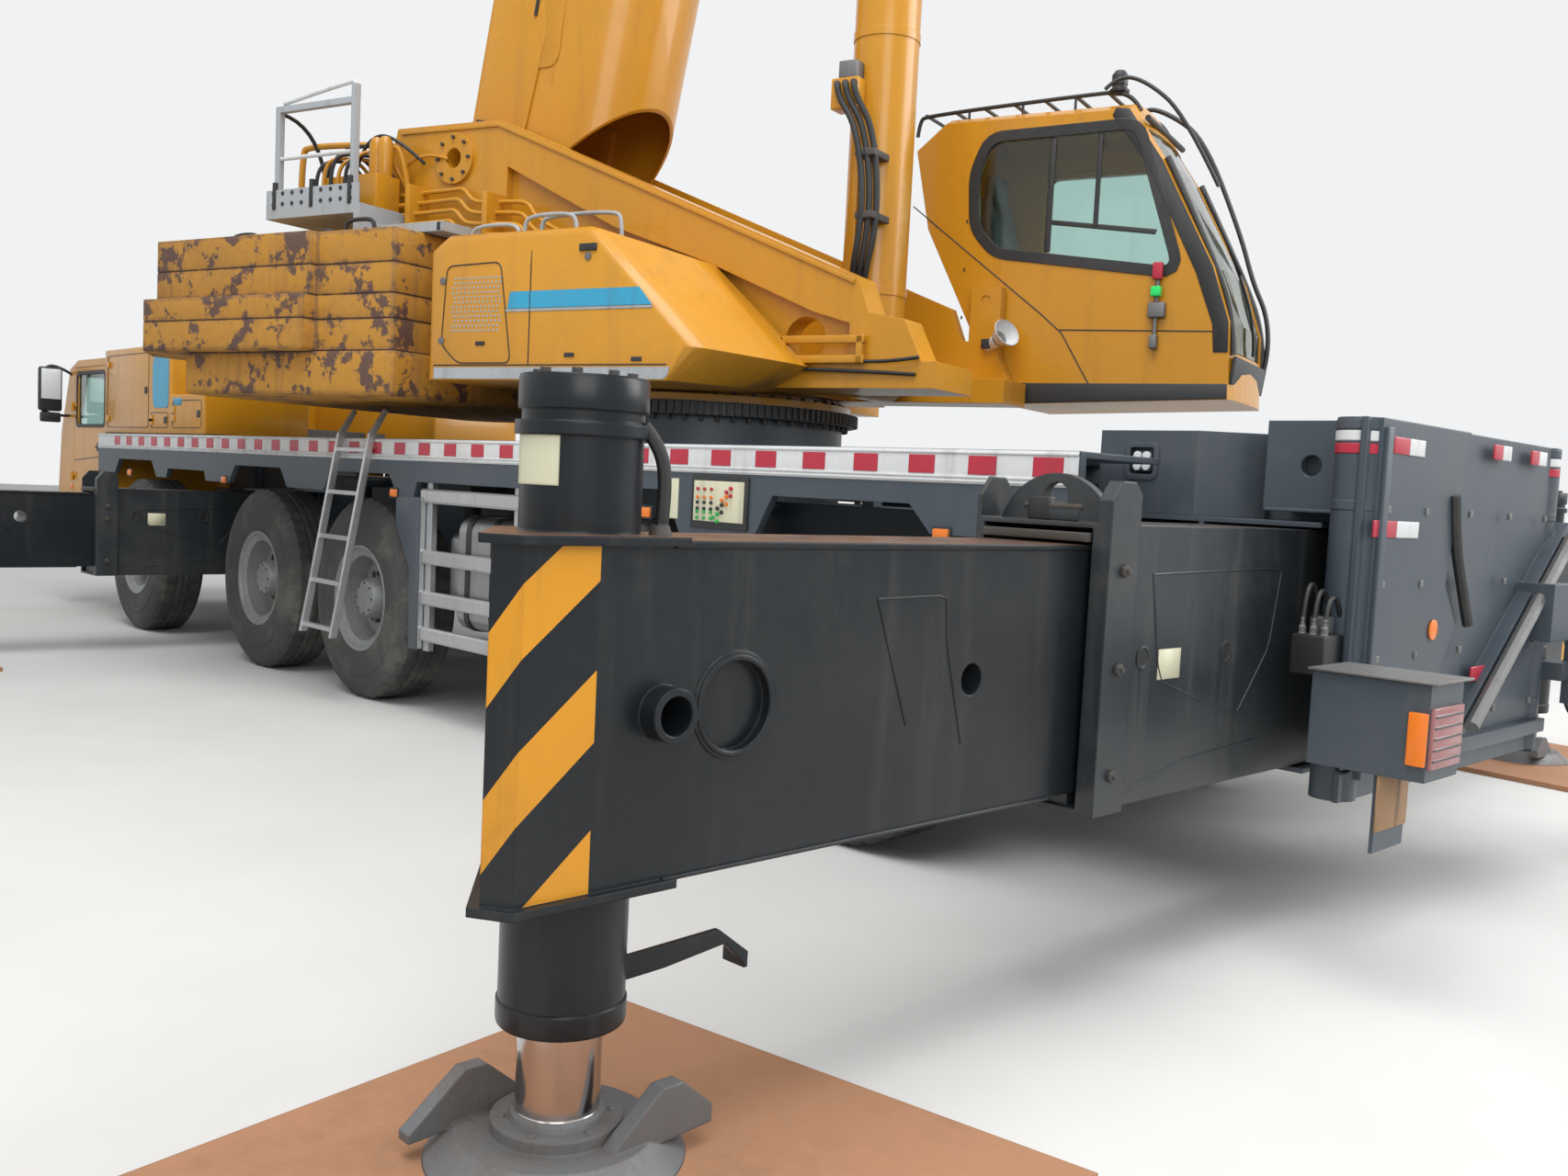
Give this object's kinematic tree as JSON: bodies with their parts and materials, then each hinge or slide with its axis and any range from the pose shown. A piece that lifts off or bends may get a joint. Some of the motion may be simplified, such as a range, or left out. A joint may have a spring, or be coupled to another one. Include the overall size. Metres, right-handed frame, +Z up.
{
  "type": "mobile crane",
  "caption": "Five-axle mobile crane on outriggers with mats, slewing superstructure, counterweight, cabs and a raised telescopic boom held by one ram.",
  "frame": {"origin": "on the floor, at the middle of the carrier's length and width", "axes": "+X towards the driver's cab, +Y to the left, +Z up"},
  "size_m": [14.0703, 9.8906, 16.1006],
  "materials": {
    "dark_paint": "worn",
    "carrier_white": "worn",
    "yellow_paint": "worn",
    "hood_paint": "worn",
    "tyre": "worn",
    "glass": "worn",
    "beam_paint": "worn",
    "bare_aluminium": "worn",
    "rusty_plate": "worn",
    "weight_paint": "worn",
    "cast_steel": "worn",
    "chrome_rod": "worn",
    "tank_paint": "worn"
  },
  "bodies": {
    "root": {"chassis_frame": "dark_paint", "carrier_deck": "carrier_white", "axle_beams": "cast_steel", "driver_cab": "yellow_paint", "driver_cab_glass": "glass", "side_boxes": "yellow_paint", "carrier_engine": "cast_steel", "fuel_tanks": "tank_paint", "guards_and_ladder": "bare_aluminium", "tail": "dark_paint", "outrigger_mats": "rusty_plate", "outrigger_boxes": "beam_paint", "deck_brackets": "dark_paint"},
    "wheel_a_left": {"wheel_a_left": "tyre"},
    "knuckle_a_left": {"knuckle_a_left": "cast_steel"},
    "wheel_a_right": {"wheel_a_right": "tyre"},
    "knuckle_a_right": {"knuckle_a_right": "cast_steel"},
    "wheel_b_left": {"wheel_b_left": "tyre"},
    "knuckle_b_left": {"knuckle_b_left": "cast_steel"},
    "wheel_b_right": {"wheel_b_right": "tyre"},
    "knuckle_b_right": {"knuckle_b_right": "cast_steel"},
    "wheel_c_left": {"wheel_c_left": "tyre"},
    "wheel_c_right": {"wheel_c_right": "tyre"},
    "wheel_d_left": {"wheel_d_left": "tyre"},
    "knuckle_d_left": {"knuckle_d_left": "cast_steel"},
    "wheel_d_right": {"wheel_d_right": "tyre"},
    "knuckle_d_right": {"knuckle_d_right": "cast_steel"},
    "wheel_e_left": {"wheel_e_left": "tyre"},
    "knuckle_e_left": {"knuckle_e_left": "cast_steel"},
    "wheel_e_right": {"wheel_e_right": "tyre"},
    "knuckle_e_right": {"knuckle_e_right": "cast_steel"},
    "outrigger_rear_left_stage_one": {"outrigger_rear_left_stage_one": "beam_paint"},
    "outrigger_rear_left_stage_two": {"outrigger_rear_left_stage_two": "beam_paint"},
    "outrigger_rear_left_foot": {"outrigger_rear_left_foot": "chrome_rod"},
    "outrigger_rear_right_stage_one": {"outrigger_rear_right_stage_one": "beam_paint"},
    "outrigger_rear_right_stage_two": {"outrigger_rear_right_stage_two": "beam_paint"},
    "outrigger_rear_right_foot": {"outrigger_rear_right_foot": "chrome_rod"},
    "outrigger_front_left_stage_one": {"outrigger_front_left_stage_one": "beam_paint"},
    "outrigger_front_left_stage_two": {"outrigger_front_left_stage_two": "beam_paint"},
    "outrigger_front_left_foot": {"outrigger_front_left_foot": "chrome_rod"},
    "outrigger_front_right_stage_one": {"outrigger_front_right_stage_one": "beam_paint"},
    "outrigger_front_right_stage_two": {"outrigger_front_right_stage_two": "beam_paint"},
    "outrigger_front_right_foot": {"outrigger_front_right_foot": "chrome_rod"},
    "driver_door_left": {"driver_door_left": "yellow_paint"},
    "driver_door_right": {"driver_door_right": "yellow_paint"},
    "superstructure": {"turntable": "yellow_paint", "machinery_hoods": "hood_paint", "counterweight": "weight_paint", "service_platform": "dark_paint"},
    "boom_base": {"boom_base": "yellow_paint"},
    "boom_section_2": {"boom_section_2": "yellow_paint"},
    "boom_section_3": {"boom_section_3": "yellow_paint"},
    "boom_section_4": {"boom_section_4": "yellow_paint"},
    "luff_barrel": {"luff_barrel": "yellow_paint"},
    "luff_rod": {"luff_rod": "chrome_rod"},
    "operator_cab": {"operator_cab": "yellow_paint", "operator_cab_glass": "glass"},
    "operator_door": {"operator_door": "yellow_paint"},
    "hoist_drum": {"hoist_drum": "cast_steel"}
  },
  "joints": [
    {"name": "steer_a_left", "type": "hinge", "parent": "root", "child": "knuckle_a_left", "pos_m": [4.49, 0.985, 0.685], "axis": [0, 0, 1], "range_deg": [-20, 20]},
    {"name": "spin_a_left", "type": "hinge", "parent": "knuckle_a_left", "child": "wheel_a_left", "pos_m": [4.49, 1.2925, 0.685], "axis": [0, 1, 0], "continuous": true},
    {"name": "steer_a_right", "type": "hinge", "parent": "root", "child": "knuckle_a_right", "pos_m": [4.49, -0.985, 0.685], "axis": [0, 0, 1], "range_deg": [-20, 20]},
    {"name": "spin_a_right", "type": "hinge", "parent": "knuckle_a_right", "child": "wheel_a_right", "pos_m": [4.49, -1.2925, 0.685], "axis": [0, 1, 0], "continuous": true},
    {"name": "steer_b_left", "type": "hinge", "parent": "root", "child": "knuckle_b_left", "pos_m": [1.84, 0.985, 0.685], "axis": [0, 0, 1], "range_deg": [-13, 13]},
    {"name": "spin_b_left", "type": "hinge", "parent": "knuckle_b_left", "child": "wheel_b_left", "pos_m": [1.84, 1.2925, 0.685], "axis": [0, 1, 0], "continuous": true},
    {"name": "steer_b_right", "type": "hinge", "parent": "root", "child": "knuckle_b_right", "pos_m": [1.84, -0.985, 0.685], "axis": [0, 0, 1], "range_deg": [-13, 13]},
    {"name": "spin_b_right", "type": "hinge", "parent": "knuckle_b_right", "child": "wheel_b_right", "pos_m": [1.84, -1.2925, 0.685], "axis": [0, 1, 0], "continuous": true},
    {"name": "spin_c_left", "type": "hinge", "parent": "root", "child": "wheel_c_left", "pos_m": [0.18, 1.2925, 0.685], "axis": [0, 1, 0], "continuous": true},
    {"name": "spin_c_right", "type": "hinge", "parent": "root", "child": "wheel_c_right", "pos_m": [0.18, -1.2925, 0.685], "axis": [0, 1, 0], "continuous": true},
    {"name": "steer_d_left", "type": "hinge", "parent": "root", "child": "knuckle_d_left", "pos_m": [-2.68, 0.985, 0.685], "axis": [0, 0, 1], "range_deg": [-8, 8]},
    {"name": "spin_d_left", "type": "hinge", "parent": "knuckle_d_left", "child": "wheel_d_left", "pos_m": [-2.68, 1.2925, 0.685], "axis": [0, 1, 0], "continuous": true},
    {"name": "steer_d_right", "type": "hinge", "parent": "root", "child": "knuckle_d_right", "pos_m": [-2.68, -0.985, 0.685], "axis": [0, 0, 1], "range_deg": [-8, 8]},
    {"name": "spin_d_right", "type": "hinge", "parent": "knuckle_d_right", "child": "wheel_d_right", "pos_m": [-2.68, -1.2925, 0.685], "axis": [0, 1, 0], "continuous": true},
    {"name": "steer_e_left", "type": "hinge", "parent": "root", "child": "knuckle_e_left", "pos_m": [-4.29, 0.985, 0.685], "axis": [0, 0, 1], "range_deg": [-16, 16]},
    {"name": "spin_e_left", "type": "hinge", "parent": "knuckle_e_left", "child": "wheel_e_left", "pos_m": [-4.29, 1.2925, 0.685], "axis": [0, 1, 0], "continuous": true},
    {"name": "steer_e_right", "type": "hinge", "parent": "root", "child": "knuckle_e_right", "pos_m": [-4.29, -0.985, 0.685], "axis": [0, 0, 1], "range_deg": [-16, 16]},
    {"name": "spin_e_right", "type": "hinge", "parent": "knuckle_e_right", "child": "wheel_e_right", "pos_m": [-4.29, -1.2925, 0.685], "axis": [0, 1, 0], "continuous": true},
    {"name": "outrigger_rear_left_out", "type": "slide", "parent": "root", "child": "outrigger_rear_left_stage_one", "axis": [0, 1, 0], "range_m": [-1.28, 0]},
    {"name": "outrigger_rear_left_out_two", "type": "slide", "parent": "outrigger_rear_left_stage_one", "child": "outrigger_rear_left_stage_two", "axis": [0, 1, 0], "range_m": [-1.55, 0]},
    {"name": "outrigger_rear_left_jack", "type": "slide", "parent": "outrigger_rear_left_stage_two", "child": "outrigger_rear_left_foot", "axis": [0, 0, 1], "range_m": [0, 0.2]},
    {"name": "outrigger_rear_right_out", "type": "slide", "parent": "root", "child": "outrigger_rear_right_stage_one", "axis": [0, -1, 0], "range_m": [-1.28, 0]},
    {"name": "outrigger_rear_right_out_two", "type": "slide", "parent": "outrigger_rear_right_stage_one", "child": "outrigger_rear_right_stage_two", "axis": [0, -1, 0], "range_m": [-1.55, 0]},
    {"name": "outrigger_rear_right_jack", "type": "slide", "parent": "outrigger_rear_right_stage_two", "child": "outrigger_rear_right_foot", "axis": [0, 0, 1], "range_m": [0, 0.2]},
    {"name": "outrigger_front_left_out", "type": "slide", "parent": "root", "child": "outrigger_front_left_stage_one", "axis": [0, 1, 0], "range_m": [-1.28, 0]},
    {"name": "outrigger_front_left_out_two", "type": "slide", "parent": "outrigger_front_left_stage_one", "child": "outrigger_front_left_stage_two", "axis": [0, 1, 0], "range_m": [-1.55, 0]},
    {"name": "outrigger_front_left_jack", "type": "slide", "parent": "outrigger_front_left_stage_two", "child": "outrigger_front_left_foot", "axis": [0, 0, 1], "range_m": [0, 0.2]},
    {"name": "outrigger_front_right_out", "type": "slide", "parent": "root", "child": "outrigger_front_right_stage_one", "axis": [0, -1, 0], "range_m": [-1.28, 0]},
    {"name": "outrigger_front_right_out_two", "type": "slide", "parent": "outrigger_front_right_stage_one", "child": "outrigger_front_right_stage_two", "axis": [0, -1, 0], "range_m": [-1.55, 0]},
    {"name": "outrigger_front_right_jack", "type": "slide", "parent": "outrigger_front_right_stage_two", "child": "outrigger_front_right_foot", "axis": [0, 0, 1], "range_m": [0, 0.2]},
    {"name": "driver_door_left_swing", "type": "hinge", "parent": "root", "child": "driver_door_left", "pos_m": [6.56, 1.416, 1.6], "axis": [0, 0, -1], "range_deg": [0, 70]},
    {"name": "driver_door_right_swing", "type": "hinge", "parent": "root", "child": "driver_door_right", "pos_m": [6.56, -1.416, 1.6], "axis": [0, 0, 1], "range_deg": [0, 70]},
    {"name": "slew", "type": "hinge", "parent": "root", "child": "superstructure", "pos_m": [-1.62, 0, 2.06], "axis": [0, 0, 1], "continuous": true},
    {"name": "luff", "type": "hinge", "parent": "superstructure", "child": "boom_base", "pos_m": [-0.12494, 0.409, 3.62], "axis": [-0.2639, 0.9646, 0], "range_deg": [-79, 3]},
    {"name": "telescope_2", "type": "slide", "parent": "boom_base", "child": "boom_section_2", "axis": [-0.184, -0.0503, 0.9816], "range_m": [0, 9]},
    {"name": "telescope_3", "type": "slide", "parent": "boom_section_2", "child": "boom_section_3", "axis": [-0.184, -0.0503, 0.9816], "range_m": [0, 9]},
    {"name": "telescope_4", "type": "slide", "parent": "boom_section_3", "child": "boom_section_4", "axis": [-0.184, -0.0503, 0.9816], "range_m": [0, 9]},
    {"name": "ram_tilt", "type": "hinge", "parent": "superstructure", "child": "luff_barrel", "pos_m": [-2.76782, -0.31401, 2.35], "axis": [-0.2639, 0.9646, 0], "range_deg": [-91.69, 3.49]},
    {"name": "ram_stroke", "type": "slide", "parent": "luff_barrel", "child": "luff_rod", "axis": [-0.0001, 0, 1], "range_m": [-3.61041, 0.13807]},
    {"name": "cab_tilt", "type": "hinge", "parent": "superstructure", "child": "operator_cab", "pos_m": [-3.09615, -1.04661, 2.8], "axis": [-0.2639, 0.9646, 0], "range_deg": [0, 20]},
    {"name": "operator_door_slide", "type": "slide", "parent": "operator_cab", "child": "operator_door", "axis": [0.9646, 0.2639, 0], "range_m": [0, 0.85]},
    {"name": "hoist_spin", "type": "hinge", "parent": "superstructure", "child": "hoist_drum", "pos_m": [0.16443, 0.48817, 2.72], "axis": [0.2639, -0.9646, 0], "continuous": true}
  ],
  "couplings": [
    {"joint": "steer_a_right", "follows": "steer_a_left", "ratio": 1},
    {"joint": "steer_b_left", "follows": "steer_a_left", "ratio": 0.65},
    {"joint": "steer_b_right", "follows": "steer_a_left", "ratio": 0.65},
    {"joint": "steer_d_left", "follows": "steer_a_left", "ratio": -0.4},
    {"joint": "steer_d_right", "follows": "steer_a_left", "ratio": -0.4},
    {"joint": "steer_e_left", "follows": "steer_a_left", "ratio": -0.8},
    {"joint": "steer_e_right", "follows": "steer_a_left", "ratio": -0.8},
    {"joint": "outrigger_rear_left_out_two", "follows": "outrigger_rear_left_out", "ratio": 1.2109},
    {"joint": "outrigger_rear_right_out_two", "follows": "outrigger_rear_right_out", "ratio": 1.2109},
    {"joint": "outrigger_front_left_out_two", "follows": "outrigger_front_left_out", "ratio": 1.2109},
    {"joint": "outrigger_front_right_out_two", "follows": "outrigger_front_right_out", "ratio": 1.2109},
    {"joint": "telescope_3", "follows": "telescope_2", "ratio": 1},
    {"joint": "telescope_4", "follows": "telescope_2", "ratio": 1},
    {"joint": "ram_tilt", "follows": "luff", "ratio": 1.1605},
    {"joint": "ram_stroke", "follows": "luff", "m_per_rad": 2.6178}
  ]
}
